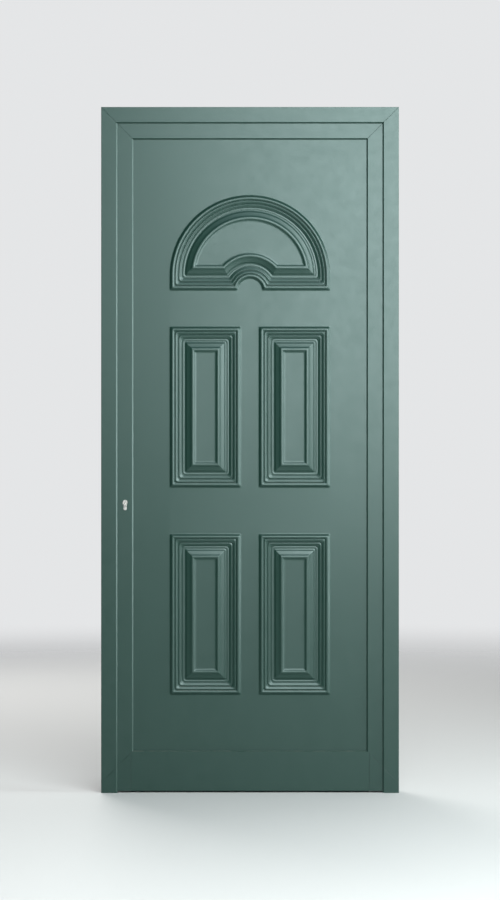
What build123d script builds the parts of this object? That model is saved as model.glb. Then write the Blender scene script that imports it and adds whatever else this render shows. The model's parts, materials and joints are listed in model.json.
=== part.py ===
from build123d import *
import math
import os

# A panelled front door with its outer frame, seen from outside along +Y: X runs across it, Z runs up.
# Widths across a bar are measured from its outer edge towards the middle of the door, and depths from the
# outer face of the frame towards the room. Everything is in millimetres.

# Whole door
door_width = 955
door_height = 2200

# How far a cutting shape runs past the face it cuts, or a joined one into its neighbour
overlap = 1

# Outer frame bars
frame_depth = 62
frame_box = 36
frame_lip = 16
lip_thickness = 5
lip_bevel = 4
wall = 2
edge_round = 0.8
groove_width = 24.4
groove_depth = 3
cleat_leg = 75
cleat_hole_share = 0.2

# Leaf bars
leaf_set_back = 7
leaf_gap = 6
leaf_box = 53
leaf_lip = 8
floor_gap = 6
bottom_rail_box = 121
connector_length = 50

# Seals
seal_foot_width = 3
seal_foot_depth = 2
seal_width = 5
brush_width = 7
brush_foot = 2
brush_floor_gap = 0.5

# Panel sandwich and what holds it
panel_edge_gap = 2.5
panel_thickness = 28
skin_thickness = 1.5
outer_gasket_thickness = 2
outer_gasket_width = 4.5
inner_gasket_thickness = 3
inner_gasket_width = 14
gasket_set_back = 1
bead_width = 20
bead_wall = 1.5
bead_round = 2
setting_block_length = 100
setting_block_margin = 2

# Pressed mouldings: where they stand on the panel
moulding_width = 232
moulding_gap = 54
rectangle_height = 520
lower_rectangle_foot = 312
gap_between_rectangles = 146
gap_under_arch = 113
arch_stilt = 50
notch_radius = 38

# Section of a moulding: distance in from its outline, height over the panel's face, radius of its corners
moulding_section = [
    (0, 0, 5),
    (2.5, 0.6, 5),
    (4.5, 2.2, 5),
    (7.5, 4.9, 5),
    (9.5, 5.8, 4.5),
    (12, 6, 4),
    (14, 5.4, 4.5),
    (16, 3.8, 5),
    (18, 3, 6.5),
    (23, 1.5, 8),
    (27.5, 0.5, 8.5),
    (29.5, -1.2, 8.5),
    (31.5, -1.9, 9),
    (37, -2.9, 9.5),
    (39.5, -3.2, 9.5),
    (41.5, -4.3, 9.5),
    (45.5, -5.5, 9),
    (48.5, -5.8, 7),
    (51.5, -5.2, 4),
    (55, -3.8, 2),
    (73.5, 4, 1.5),
    (75.5, 4.6, 2.5),
    (79.5, 4.6, 3.5),
    (81.5, 3.2, 3.5),
    (83.5, 2.2, 3),
    (86.5, 1.5, 2.5),
]

# Hinges
hinge_height = 110
hinge_end_distance = 230
hinge_plate_width = 30
hinge_plate_thickness = 4
hinge_plate_margin = 4
hinge_stand_off = 13
knuckle_radius = 8
knuckle_gap = 1
leaf_knuckle_height = 44
hinge_pin_radius = 4
pin_head_height = 4
pin_head_radius = 7
pin_head_chamfer = 1.5
bush_radius = 5.5
bush_length = 20
running_clearance = 0.05
hinge_screw_radius = 2.4
hinge_screw_length = 16
hinge_screw_pitch = 38
hinge_screw_inset = 21

# Screws: the sizes of their heads for each unit of shank radius
head_share = 2
head_edge_share = 0.25
head_depth_share = 1.25
socket_share = 0.9
screw_clearance = 0.1

# Lock
cylinder_height = 931
handle_to_cylinder = 92
backset = 35
lock_thickness = 16
lock_depth = 47
lock_wall = 1.2
lock_below_cylinder = 60
lock_above_handle = 50
faceplate_width = 24
faceplate_overhang = 24
latch_above_handle = 32
latch_height = 20
latch_thickness = 11
latch_projection = 12
latch_body_length = 34
latch_tail_thickness = 5
latch_nose = 1.5
latch_lug_width = 4
latch_lug_lap = 2
dead_bolt_above_cylinder = 40
dead_bolt_height = 32
dead_bolt_thickness = 12
dead_bolt_throw = 20
dead_bolt_kept_inside = 4
dead_bolt_tail_length = 16
dead_bolt_tail_height = 12
bolt_clearance = 0.3
pocket_clearance = 1
follower_radius = 10
follower_journal_radius = 8
follower_arm_reach = 17.5
follower_arm_width = 3
follower_tip_radius = 3
handle_turn = 40
spindle_width = 8
latch_spring_radius = 3.6
latch_spring_wire = 0.7
latch_spring_turns = 7
lock_screw_radius = 2.2
lock_screw_length = 14
strike_reach = 34

# Euro profile cylinder
profile_radius = 8.5
profile_leg_width = 10
profile_height = 33
profile_clearance = 0.3
cylinder_proud = 3
plug_radius = 6.5
plug_proud = 0.5
keyway_width = 1.8
keyway_height = 8.4
keyway_depth = 24
cam_radius = 13.2
cam_gap = 10
cam_lobe_width = 7
cam_clearance = 0.2
cylinder_screw_drop = 19.5
cylinder_screw_radius = 2.5

# Inside handle and roses
rose_width = 32
rose_height = 76
rose_thickness = 8
rose_round = 2.5
rose_screw_spacing = 58
rose_screw_radius = 2
rose_screw_length = 15
lever_radius = 9.5
lever_length = 125
lever_reach = 46
lever_bend = 16
neck_clearance = 1

# Wall fixings through the frame
fixing_end_distance = 200
fixing_radius = 4
fixing_access_radius = 7
fixing_cap_overlap = 1.5
fixing_cap_thickness = 1.2
head_fixing_spacing = 500

# Worked out from the sizes above
leaf_edge = frame_box + leaf_gap
leaf_half = door_width / 2 - leaf_edge
leaf_top = door_height - leaf_edge
leaf_face = leaf_set_back
lock_plane = (leaf_face + frame_depth) / 2
groove_low = lock_plane - groove_width / 2
groove_high = lock_plane + groove_width / 2
rebate_half = leaf_half - leaf_box
rebate_top = leaf_top - leaf_box
rebate_bottom = floor_gap + bottom_rail_box
panel_half = rebate_half - panel_edge_gap
panel_top = rebate_top - panel_edge_gap
panel_bottom = rebate_bottom + panel_edge_gap
panel_face = leaf_face + lip_thickness + outer_gasket_thickness
panel_back = panel_face + panel_thickness
hinge_axis_x = door_width / 2 - frame_box - leaf_gap / 2
hinge_axis_y = frame_depth + hinge_stand_off
lock_x = -leaf_half + backset
handle_height = cylinder_height + handle_to_cylinder
lever_plane = frame_depth + lever_reach
overall_depth = lever_plane + lever_radius
dead_bolt_length = dead_bolt_throw + dead_bolt_kept_inside


def span(low_width, high_width, low_depth, high_depth):
    """A flat rectangle between two widths and two depths."""
    size = (high_width - low_width, high_depth - low_depth)
    return Pos(low_width, low_depth) * Rectangle(*size, align=(Align.MIN, Align.MIN))


def outline(*points):
    """A flat face inside straight lines through the points."""
    return make_face(Polyline(*points, close=True))


def through(flat, low_depth, high_depth):
    """A flat X-Z outline carried from one depth to another."""
    plane = Plane(origin=(0, high_depth, 0), x_dir=(1, 0, 0), z_dir=(0, -1, 0))
    return extrude(plane * flat, high_depth - low_depth)


def rise(flat, low_height, high_height):
    """A flat X-Y outline carried from one height to another."""
    return extrude(Pos(0, 0, low_height) * flat, high_height - low_height)


def block(low, high):
    """A box between two corners."""
    size = [b - a for a, b in zip(low, high)]
    return Pos(*low) * Box(*size, align=(Align.MIN, Align.MIN, Align.MIN))


def rounded(flat, radius, *points):
    """A flat face with the corners nearest these points rounded."""
    corners = [flat.vertices().sort_by_distance((*point, 0))[0] for point in points]
    return fillet(corners, radius)


def bar(section, corner, inward, length):
    """A straight bar of one section, its widths along inward and its depths along +Y."""
    widthways = Vector(*inward)
    along = widthways.cross(Vector(0, 1, 0))
    return extrude(Plane(corner, x_dir=widthways, z_dir=along) * section, length)


def cut_square_to(shape, corner, kept):
    """The part of a shape on the kept side of the plane through a corner."""
    return split(shape, bisect_by=Plane(corner, z_dir=kept), keep=Keep.TOP)


def bars_around(section, half, top, bottom, closed=False):
    """Bars round a rectangle, mitred where they meet. An open set has no bottom bar."""
    height, width = top - bottom, 2 * half
    bars = {
        "left": bar(section, (-half, 0, bottom), (1, 0, 0), height),
        "right": bar(section, (half, 0, top), (-1, 0, 0), height),
        "top": bar(section, (-half, 0, top), (0, 0, -1), width),
    }
    bars["left"] = cut_square_to(bars["left"], (-half, 0, top), (-1, 0, -1))
    bars["right"] = cut_square_to(bars["right"], (half, 0, top), (1, 0, -1))
    bars["top"] = cut_square_to(bars["top"], (-half, 0, top), (1, 0, 1))
    bars["top"] = cut_square_to(bars["top"], (half, 0, top), (-1, 0, 1))
    if closed:
        bars["bottom"] = bar(section, (half, 0, bottom), (0, 0, 1), width)
        bars["left"] = cut_square_to(bars["left"], (-half, 0, bottom), (-1, 0, 1))
        bars["right"] = cut_square_to(bars["right"], (half, 0, bottom), (1, 0, 1))
        bars["bottom"] = cut_square_to(bars["bottom"], (-half, 0, bottom), (1, 0, -1))
        bars["bottom"] = cut_square_to(bars["bottom"], (half, 0, bottom), (-1, 0, -1))
    return bars


def hollow_section(box, lip, face, groove_outside, ribs=()):
    """A bar's section: a box of three chambers, a bevelled lip in front and a hardware groove."""
    corners = [(0, face), (0, frame_depth), (box, frame_depth)]
    body = rounded(span(0, box, face, frame_depth), edge_round, *corners)
    edge = box + lip
    body += outline(
        (box - wall, face),
        (edge - lip_bevel, face),
        (edge, face + lip_bevel),
        (edge, face + lip_thickness),
        (box - wall, face + lip_thickness),
    )
    body -= span(wall, box - wall, face + wall, groove_low - wall)
    body -= span(wall, box - wall, groove_high + wall, frame_depth - wall)
    if groove_outside:
        body -= span(0, groove_depth, groove_low, groove_high)
        body -= span(groove_depth + wall, box - wall, groove_low, groove_high)
    else:
        body -= span(box - groove_depth, box, groove_low, groove_high)
        body -= span(wall, box - groove_depth - wall, groove_low, groove_high)
    for rib in ribs:
        body += span(rib - wall / 2, rib + wall / 2, face + wall / 2, frame_depth - wall / 2)
    return body


def screw(radius, length):
    """A countersunk socket screw with its face at the origin and its shank down -Z."""
    socket = extrude(RegularPolygon(radius * socket_share, 6), -radius)
    return screw_hole(radius, length, 0) - socket


def screw_hole(radius, length, clearance=screw_clearance):
    """The hole for that screw: the same countersink, and a little room round the shank."""
    head = head_share * radius
    shank = radius + clearance
    half_section = outline(
        (0, 0),
        (head, 0),
        (head, -head_edge_share * radius),
        (shank, -head_depth_share * radius + clearance),
        (shank, -length),
        (0, -length),
    )
    return revolve(Plane.XZ * half_section, Axis.Z)


def placed(shape, origin, outward):
    """A shape made along Z, moved so that +Z points outward from origin."""
    return Plane(origin, z_dir=outward).location * shape


parts = {}


# Outer frame, with a seal in its lip
seal_middle = (leaf_edge + frame_box + frame_lip) / 2
seal_foot = span(
    seal_middle - seal_foot_width / 2,
    seal_middle + seal_foot_width / 2,
    lip_thickness - seal_foot_depth,
    lip_thickness,
)
seal_section = seal_foot + span(
    seal_middle - seal_width / 2, seal_middle + seal_width / 2, lip_thickness, leaf_face
)
frame_section = hollow_section(frame_box, frame_lip, 0, groove_outside=False) - seal_foot
frame_bars = bars_around(frame_section, door_width / 2, door_height, 0)
lock_jamb, hinge_jamb, frame_head = frame_bars["left"], frame_bars["right"], frame_bars["top"]

fixing_pitch = (door_height - 2 * fixing_end_distance) / 3
fixing_heights = [fixing_end_distance + i * fixing_pitch for i in range(4)]
groove_floor = frame_box - groove_depth


def fixing_hole():
    """A wall fixing's hole down +Z into a frame bar: narrow in its outer wall, wide in its inner one."""
    narrow = Cylinder(fixing_radius, 2 * wall, align=(Align.CENTER, Align.CENTER, Align.MIN))
    wide = Cylinder(fixing_access_radius, frame_box, align=(Align.CENTER, Align.CENTER, Align.MIN))
    return Pos(0, 0, -wall / 2) * narrow + Pos(0, 0, 1.5 * wall) * wide


def fixing_cap():
    """A plug with a thin rim that closes the wide hole, made down +Z from the bar's outer edge."""
    plug = Cylinder(fixing_access_radius, wall, align=(Align.CENTER, Align.CENTER, Align.MIN))
    rim_radius = fixing_access_radius + fixing_cap_overlap
    rim = Cylinder(rim_radius, fixing_cap_thickness, align=(Align.CENTER, Align.CENTER, Align.MIN))
    return Pos(0, 0, groove_floor - wall) * plug + Pos(0, 0, groove_floor) * rim


caps = []
for height in fixing_heights:
    left_spot, right_spot = (-door_width / 2, lock_plane, height), (door_width / 2, lock_plane, height)
    lock_jamb -= placed(fixing_hole(), left_spot, (1, 0, 0))
    hinge_jamb -= placed(fixing_hole(), right_spot, (-1, 0, 0))
    caps.append(placed(fixing_cap(), left_spot, (1, 0, 0)))
    caps.append(placed(fixing_cap(), right_spot, (-1, 0, 0)))
for side in (-1, 1):
    spot = (side * head_fixing_spacing / 2, lock_plane, door_height)
    frame_head -= placed(fixing_hole(), spot, (0, 0, -1))
    caps.append(placed(fixing_cap(), spot, (0, 0, -1)))
parts["fixing_caps"] = Compound(caps)


def corner_cleats(half, top, box, face, side):
    """The two angle blocks that join a mitred corner inside its outer and inner chambers."""
    width = box - 2 * wall
    x, z = half - wall, top - wall
    corner = outline(
        (side * x, z),
        (side * (x - cleat_leg), z),
        (side * (x - cleat_leg), z - width),
        (side * (x - width), z - width),
        (side * (x - width), z - cleat_leg),
        (side * x, z - cleat_leg),
    )
    hole = Circle(width * cleat_hole_share)
    reach = (cleat_leg + width) / 2
    corner -= Pos(side * (x - reach), z - width / 2) * hole
    corner -= Pos(side * (x - width / 2), z - reach) * hole
    outer = through(corner, face + wall, groove_low - wall)
    inner = through(corner, groove_high + wall, frame_depth - wall)
    return Compound([outer, inner])


for side, name in ((-1, "left"), (1, "right")):
    parts["frame_corner_cleats_" + name] = corner_cleats(door_width / 2, door_height, frame_box, 0, side)

seal_bars = bars_around(seal_section, door_width / 2, door_height, 0)
parts["frame_seal"] = seal_bars["left"] + seal_bars["right"] + seal_bars["top"]


# Leaf bars
leaf_section = hollow_section(leaf_box, leaf_lip, leaf_face, groove_outside=True)
leaf_bars = bars_around(leaf_section, leaf_half, leaf_top, floor_gap)
lock_stile, hinge_stile = leaf_bars["left"], leaf_bars["right"]
parts["leaf_head_rail"] = leaf_bars["top"]

rail_section = hollow_section(
    bottom_rail_box, leaf_lip, leaf_face, groove_outside=True, ribs=[bottom_rail_box / 2]
)
bottom_rail = bar(rail_section, (rebate_half, 0, floor_gap), (0, 0, 1), 2 * rebate_half)
for side in (-1, 1):
    bottom_rail = cut_square_to(bottom_rail, (side * rebate_half, 0, rebate_bottom), (-side, 0, -1))
parts["leaf_bottom_rail"] = bottom_rail


def lip_below_rail(side):
    """The stretch of a stile's lip that the bottom rail takes the place of, ending in a mitre."""
    reach = leaf_lip + overlap
    return through(
        outline(
            (side * rebate_half, floor_gap - overlap),
            (side * (rebate_half - reach), floor_gap - overlap),
            (side * (rebate_half - reach), rebate_bottom + reach),
            (side * rebate_half, rebate_bottom),
        ),
        leaf_face - overlap,
        frame_depth + overlap,
    )


lock_stile -= lip_below_rail(-1)
hinge_stile -= lip_below_rail(1)

for side, name in ((-1, "left"), (1, "right")):
    parts["leaf_corner_cleats_" + name] = corner_cleats(leaf_half, leaf_top, leaf_box, leaf_face, side)

connectors = []
rail_middle = floor_gap + bottom_rail_box / 2
for side in (-1, 1):
    for low, high in (
        (floor_gap + groove_depth + wall, rail_middle - wall / 2),
        (rail_middle + wall / 2, rebate_bottom - wall),
    ):
        ends = sorted([side * rebate_half, side * (rebate_half - connector_length)])
        solid = block((ends[0], groove_low, low), (ends[1], groove_high, high))
        bore = through(Pos(sum(ends) / 2, (low + high) / 2) * Circle((high - low) / 4), 0, frame_depth)
        connectors.append(solid - bore)
parts["bottom_rail_connectors"] = Compound(connectors)


# Brush seal under the leaf
carrier = block(
    (-rebate_half, groove_low, floor_gap), (rebate_half, groove_high, floor_gap + groove_depth)
)
carrier -= block(
    (-rebate_half, lock_plane - brush_width / 2, floor_gap),
    (rebate_half, lock_plane + brush_width / 2, floor_gap + brush_foot),
)
parts["bottom_seal_carrier"] = carrier
parts["bottom_brush"] = block(
    (-rebate_half, lock_plane - brush_width / 2, brush_floor_gap),
    (rebate_half, lock_plane + brush_width / 2, floor_gap + brush_foot),
)


# Panel: a pressed outer skin, a foam core that fills its back, and a flat inner skin
def arc_through(centre, radius, angle, turn):
    """Three points on an arc: where it starts, half way and where it ends."""
    angles = [math.radians(angle + share * turn) for share in (0, 0.5, 1)]
    return [(centre[0] + radius * math.cos(a), centre[1] + radius * math.sin(a)) for a in angles]


def rectangle_runs(inset, corner, left, foot):
    """The sides and rounded corners of an upright rectangle, drawn in by inset."""
    edge = inset + corner
    low_x, high_x = left + edge, left + moulding_width - edge
    low_z, high_z = foot + edge, foot + rectangle_height - edge
    centres = [(low_x, low_z), (low_x, high_z), (high_x, high_z), (high_x, low_z)]
    arcs = [arc_through(centre, corner, 270 - 90 * i, -90) for i, centre in enumerate(centres)]
    runs = []
    for i in range(4):
        runs += [arcs[i], [arcs[i][-1], arcs[(i + 1) % 4][0]]]
    return runs


def mirrored(points):
    """The same points on the other side of the door's middle."""
    return [(-x, z) for x, z in points]


def arch_runs(inset, corner, foot):
    """A stilted half-round arch with a half-round notch in its foot, drawn in by inset."""
    spring = foot + arch_stilt
    outer, notch = arch_radius - inset, notch_radius + inset
    corner_z = foot + inset + corner
    side_tilt = math.asin(max(corner_z - spring, 0) / (outer - corner))
    side_centre = (-(outer - corner) * math.cos(side_tilt), corner_z)
    side_corner = arc_through(side_centre, corner, 270, -90 - math.degrees(side_tilt))
    notch_tilt = math.asin((corner_z - foot) / (notch + corner))
    notch_centre = (-(notch + corner) * math.cos(notch_tilt), corner_z)
    notch_corner = arc_through(notch_centre, corner, 270, 90 - math.degrees(notch_tilt))
    arch_start = (-outer * math.cos(side_tilt), spring + outer * math.sin(side_tilt))
    side = [side_corner[-1], arch_start]
    under = [notch_corner[0], side_corner[0]]
    return [
        side_corner,
        side,
        [arch_start, (0, spring + outer), *mirrored([arch_start])],
        mirrored(side[::-1]),
        mirrored(side_corner[::-1]),
        mirrored(under[::-1]),
        mirrored(notch_corner),
        [*mirrored(notch_corner[-1:]), (0, foot + notch), notch_corner[-1]],
        notch_corner[::-1],
        under,
    ]


def point_at(point, height):
    """A point of the panel's outer side that stands height over its face."""
    return Vector(point[0], panel_face - height, point[1])


def run_edge(run, height):
    """One straight or curved run of an outline as an edge, or nothing where it has no length."""
    points = [point_at(point, height) for point in run]
    if (points[0] - points[-1]).length < 1e-6:
        return None
    return Edge.make_line(*points) if len(points) == 2 else Edge.make_three_point_arc(*points)


def face_between(run, height, next_run, next_height):
    """The strip of moulding between one run and the next one in."""
    first, second = run_edge(run, height), run_edge(next_run, next_height)
    if first is None and second is None:
        return None
    if len(run) == 3:
        return Face.make_surface_from_curves(first, second)
    corners = [point_at(run[0], height), point_at(run[1], height)]
    corners += [point_at(next_run[1], next_height), point_at(next_run[0], next_height)]
    distinct = [p for i, p in enumerate(corners) if (p - corners[i - 1]).length > 1e-6]
    return Face(Wire.make_polygon(distinct, close=True))


def runs_wire(runs, height):
    """A closed wire round all the runs of an outline."""
    edges = [run_edge(run, height) for run in runs]
    return Wire([edge for edge in edges if edge is not None])


arch_radius = moulding_width + moulding_gap / 2
upper_rectangle_foot = lower_rectangle_foot + rectangle_height + gap_between_rectangles
arch_foot = upper_rectangle_foot + rectangle_height + gap_under_arch
mouldings = []
for foot in (lower_rectangle_foot, upper_rectangle_foot):
    for left in (-moulding_gap / 2 - moulding_width, moulding_gap / 2):
        mouldings.append([(rectangle_runs(s, r, left, foot), h) for s, h, r in moulding_section])
mouldings.append([(arch_runs(s, r, arch_foot), h) for s, h, r in moulding_section])

relief = []
for levels in mouldings:
    for (runs, height), (next_runs, next_height) in zip(levels, levels[1:]):
        for run, next_run in zip(runs, next_runs):
            strip = face_between(run, height, next_run, next_height)
            if strip is not None:
                relief.append(strip)
    relief.append(Face(runs_wire(*levels[-1])))

panel_corners = [
    (-panel_half, panel_bottom),
    (-panel_half, panel_top),
    (panel_half, panel_top),
    (panel_half, panel_bottom),
]
panel_runs = [(panel_corners[i], panel_corners[(i + 1) % 4]) for i in range(4)]
field = Face(runs_wire(panel_runs, 0), [runs_wire(*levels[0]) for levels in mouldings])
relief.append(field)


def panel_layer(thickness, back_faces):
    """A solid behind the moulded surface: that surface, its back faces and the four edges between them."""
    edges = []
    for low, high in panel_runs:
        front = [point_at(low, 0), point_at(high, 0)]
        back = [point_at(high, -thickness), point_at(low, -thickness)]
        edges.append(Face(Wire.make_polygon(front + back, close=True)))
    solid = Solid(Shell(relief + back_faces + edges))
    return solid if solid.volume > 0 else Solid(solid.wrapped.Reversed())


skin_back = [face.moved(Location((0, skin_thickness, 0))) for face in relief]
parts["panel_outer_skin"] = panel_layer(skin_thickness, skin_back)
core_thickness = panel_thickness - 2 * skin_thickness
core_back = Face(runs_wire(panel_runs, -core_thickness))
parts["panel_core"] = panel_layer(core_thickness, [core_back]).moved(Location((0, skin_thickness, 0)))
parts["panel_inner_skin"] = block(
    (-panel_half, panel_back - skin_thickness, panel_bottom), (panel_half, panel_back, panel_top)
)


def gasket(edge, width, low_depth, high_depth):
    """A flat ring whose outer edge lies a given distance inside the leaf's opening."""
    middle = (rebate_top + rebate_bottom) / 2
    opening_width, opening_height = 2 * rebate_half, rebate_top - rebate_bottom
    inner_edge = edge + width
    flat = Rectangle(opening_width - 2 * edge, opening_height - 2 * edge)
    flat -= Rectangle(opening_width - 2 * inner_edge, opening_height - 2 * inner_edge)
    return through(Pos(0, middle) * flat, low_depth, high_depth)


parts["panel_outer_gasket"] = gasket(
    leaf_lip - gasket_set_back - outer_gasket_width,
    outer_gasket_width,
    leaf_face + lip_thickness,
    panel_face,
)
parts["panel_inner_gasket"] = gasket(
    bead_width - gasket_set_back - inner_gasket_width,
    inner_gasket_width,
    panel_back,
    panel_back + inner_gasket_thickness,
)

bead_low = panel_back + inner_gasket_thickness
bead_section = rounded(span(0, bead_width, bead_low, frame_depth), bead_round, (bead_width, frame_depth))
bead_section -= span(bead_wall, bead_width - bead_wall, bead_low + bead_wall, frame_depth - bead_wall)
for name, bead in bars_around(bead_section, rebate_half, rebate_top, rebate_bottom, closed=True).items():
    parts["glazing_bead_" + name] = bead

blocks = []
for side in (-1, 1):
    middle = side * panel_half / 2
    blocks.append(
        block(
            (middle - setting_block_length / 2, panel_face + setting_block_margin, rebate_bottom),
            (middle + setting_block_length / 2, panel_back - setting_block_margin, panel_bottom),
        )
    )
parts["setting_blocks"] = Compound(blocks)


# Hinges
def knuckle(low_height, high_height, bore):
    """One turn of a hinge wing round the pin."""
    flat = Pos(hinge_axis_x, hinge_axis_y) * (Circle(knuckle_radius) - Circle(bore))
    return rise(flat, low_height, high_height)


def wing_web(side):
    """A wing between its plate and its knuckle, in plan. Side is +1 on the frame, -1 on the leaf."""
    plate_top = frame_depth + hinge_plate_thickness
    inner = hinge_axis_x + side * knuckle_gap / 2
    outer = hinge_axis_x + side * knuckle_radius
    foot = hinge_axis_x + side * (leaf_gap / 2 + hinge_plate_width / 2)
    web = outline(
        (inner, frame_depth),
        (inner, hinge_axis_y),
        (outer, hinge_axis_y),
        (foot, plate_top),
        (foot, frame_depth),
    )
    return web - Pos(hinge_axis_x, hinge_axis_y) * Circle(knuckle_radius - overlap)


def wing_plate(side, low_height, high_height):
    """A wing's flat plate on the inner face of its bar."""
    near = hinge_axis_x + side * leaf_gap / 2
    far = near + side * hinge_plate_width
    flat = outline((near, low_height), (far, low_height), (far, high_height), (near, high_height))
    flat = rounded(flat, hinge_plate_margin, (far, low_height), (far, high_height))
    return through(flat, frame_depth, frame_depth + hinge_plate_thickness)


def hinge(middle):
    """One hinge: its wings, pin and bushes, and where its screws go."""
    low, high = middle - hinge_height / 2, middle + hinge_height / 2
    leaf_low, leaf_high = middle - leaf_knuckle_height / 2, middle + leaf_knuckle_height / 2
    frame_wing = wing_plate(1, low, high)
    for start, end in ((low, leaf_low - knuckle_gap), (leaf_high + knuckle_gap, high)):
        frame_wing += knuckle(start, end, hinge_pin_radius) + rise(wing_web(1), start, end)
    leaf_wing = wing_plate(-1, low, high)
    leaf_wing += knuckle(leaf_low, leaf_high, bush_radius) + rise(wing_web(-1), leaf_low, leaf_high)
    axis = Pos(hinge_axis_x, hinge_axis_y, 0)
    pin = rise(Circle(hinge_pin_radius), low, high)
    head = rise(Circle(pin_head_radius), high, high + pin_head_height)
    foot = rise(Circle(pin_head_radius), low - pin_head_height, low)
    pin += chamfer(head.edges().group_by(Axis.Z)[-1], pin_head_chamfer)
    pin += chamfer(foot.edges().group_by(Axis.Z)[0], pin_head_chamfer)
    pin = axis * pin
    bore = Circle(hinge_pin_radius + running_clearance)
    bushes = []
    for start, inward in ((leaf_low, 1), (leaf_high, -1)):
        sleeve = sorted([start, start + inward * bush_length])
        flange = sorted([start, start - inward * (knuckle_gap - running_clearance)])
        bush = rise(Circle(bush_radius) - bore, *sleeve) + rise(Circle(knuckle_radius) - bore, *flange)
        bushes.append(axis * bush)
    return frame_wing, leaf_wing, pin, Compound(bushes)


lowest_hinge, highest_hinge = floor_gap + hinge_end_distance, leaf_top - hinge_end_distance
hinge_heights = {
    "bottom": lowest_hinge,
    "middle": (lowest_hinge + highest_hinge) / 2,
    "top": highest_hinge,
}
hinge_screws = {1: [], -1: []}
plate_face = frame_depth + hinge_plate_thickness
for name, middle in hinge_heights.items():
    frame_wing, leaf_wing, pin, bushes = hinge(middle)
    wings = {1: frame_wing, -1: leaf_wing}
    for side in (1, -1):
        row_x = hinge_axis_x + side * (leaf_gap / 2 + hinge_screw_inset)
        for i in (-1, 0, 1):
            spot = (row_x, plate_face, middle + i * hinge_screw_pitch)
            hole = placed(screw_hole(hinge_screw_radius, hinge_screw_length), spot, (0, 1, 0))
            wings[side] -= hole
            if side == 1:
                hinge_jamb -= hole
            else:
                hinge_stile -= hole
            body = placed(screw(hinge_screw_radius, hinge_screw_length), spot, (0, 1, 0))
            hinge_screws[side].append(body)
    parts["hinge_" + name + "_frame_wing"] = wings[1]
    parts["hinge_" + name + "_leaf_wing"] = wings[-1]
    parts["hinge_" + name + "_pin"] = pin
    parts["hinge_" + name + "_bushes"] = bushes
parts["hinge_frame_screws"] = Compound(hinge_screws[1])
parts["hinge_leaf_screws"] = Compound(hinge_screws[-1])


# Lock: places across the leaf are measured from its lock edge
def across(width):
    """The X of a width measured from the leaf's lock edge."""
    return -leaf_half + width


def lock_block(low_width, high_width, half_thickness, low_height, high_height):
    """A box centred on the lock's plane."""
    return block(
        (across(low_width), lock_plane - half_thickness, low_height),
        (across(high_width), lock_plane + half_thickness, high_height),
    )


def euro_profile(clearance=0):
    """The keyhole-shaped outline of the cylinder, centred on its plugs, in X and Z."""
    toe_drop = profile_height - profile_radius - profile_leg_width / 2
    leg_radius = profile_leg_width / 2 + clearance
    leg = Pos(0, -toe_drop / 2) * Rectangle(2 * leg_radius, toe_drop)
    toe = Pos(0, -toe_drop) * Circle(leg_radius)
    return Circle(profile_radius + clearance) + leg + toe


case_low, case_high = cylinder_height - lock_below_cylinder, handle_height + lock_above_handle
latch_height_middle = handle_height + latch_above_handle
dead_bolt_middle = cylinder_height + dead_bolt_above_cylinder
case_start, case_end = groove_depth, groove_depth + lock_depth
case_half = lock_thickness / 2

plate_low, plate_high = case_low - faceplate_overhang, case_high + faceplate_overhang
faceplate = lock_block(0, groove_depth, faceplate_width / 2, plate_low, plate_high)
case = lock_block(case_start, case_end, case_half, case_low, case_high)
case -= block(
    (across(case_start + lock_wall), lock_plane - case_half, case_low + lock_wall),
    (across(case_end - lock_wall), lock_plane + case_half - lock_wall, case_high - lock_wall),
)
cover = block(
    (across(case_start + lock_wall), lock_plane - case_half, case_low + lock_wall),
    (across(case_end - lock_wall), lock_plane - case_half + lock_wall, case_high - lock_wall),
)

latch_opening = lock_block(
    -overlap,
    case_start + 2 * lock_wall,
    latch_thickness / 2 + bolt_clearance,
    latch_height_middle - latch_height / 2 - bolt_clearance,
    latch_height_middle + latch_height / 2 + bolt_clearance,
)
dead_bolt_opening = lock_block(
    -overlap,
    case_start + 2 * lock_wall,
    dead_bolt_thickness / 2 + bolt_clearance,
    dead_bolt_middle - dead_bolt_height / 2 - bolt_clearance,
    dead_bolt_middle + dead_bolt_height / 2 + bolt_clearance,
)
faceplate -= latch_opening + dead_bolt_opening
case -= latch_opening + dead_bolt_opening

profile_opening = Pos(lock_x, cylinder_height) * euro_profile(profile_clearance)
cylinder_hole = through(profile_opening, 0, frame_depth + overlap)
case -= cylinder_hole
cover -= cylinder_hole
journal_hole = through(
    Pos(lock_x, handle_height) * Circle(follower_journal_radius + running_clearance),
    lock_plane - case_half - overlap,
    lock_plane + case_half + overlap,
)
case -= journal_hole
cover -= journal_hole

lock_stile -= lock_block(
    0,
    groove_depth + 2 * wall,
    case_half + bolt_clearance,
    case_low - pocket_clearance,
    case_high + pocket_clearance,
)
lock_stile -= cylinder_hole
lock_stile -= through(
    Pos(lock_x, handle_height) * Circle(spindle_width), lock_plane, frame_depth + overlap
)

lock_screws = []
for height in (plate_low + faceplate_overhang / 2, plate_high - faceplate_overhang / 2):
    spot = (across(0), lock_plane, height)
    hole = placed(screw_hole(lock_screw_radius, lock_screw_length), spot, (-1, 0, 0))
    faceplate -= hole
    lock_stile -= hole
    lock_screws.append(placed(screw(lock_screw_radius, lock_screw_length), spot, (-1, 0, 0)))
cylinder_screw_spot = (across(0), lock_plane, cylinder_height - cylinder_screw_drop)
cylinder_screw_length = backset + profile_leg_width / 2
cylinder_screw = screw(cylinder_screw_radius, cylinder_screw_length)
cylinder_screw_hole = placed(
    screw_hole(cylinder_screw_radius, cylinder_screw_length), cylinder_screw_spot, (-1, 0, 0)
)
faceplate -= cylinder_screw_hole
case -= cylinder_screw_hole
lock_screws.append(placed(cylinder_screw, cylinder_screw_spot, (-1, 0, 0)))

parts["lock_faceplate"] = faceplate
parts["lock_case"] = case
parts["lock_cover"] = cover
parts["lock_screws"] = Compound(lock_screws)

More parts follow.
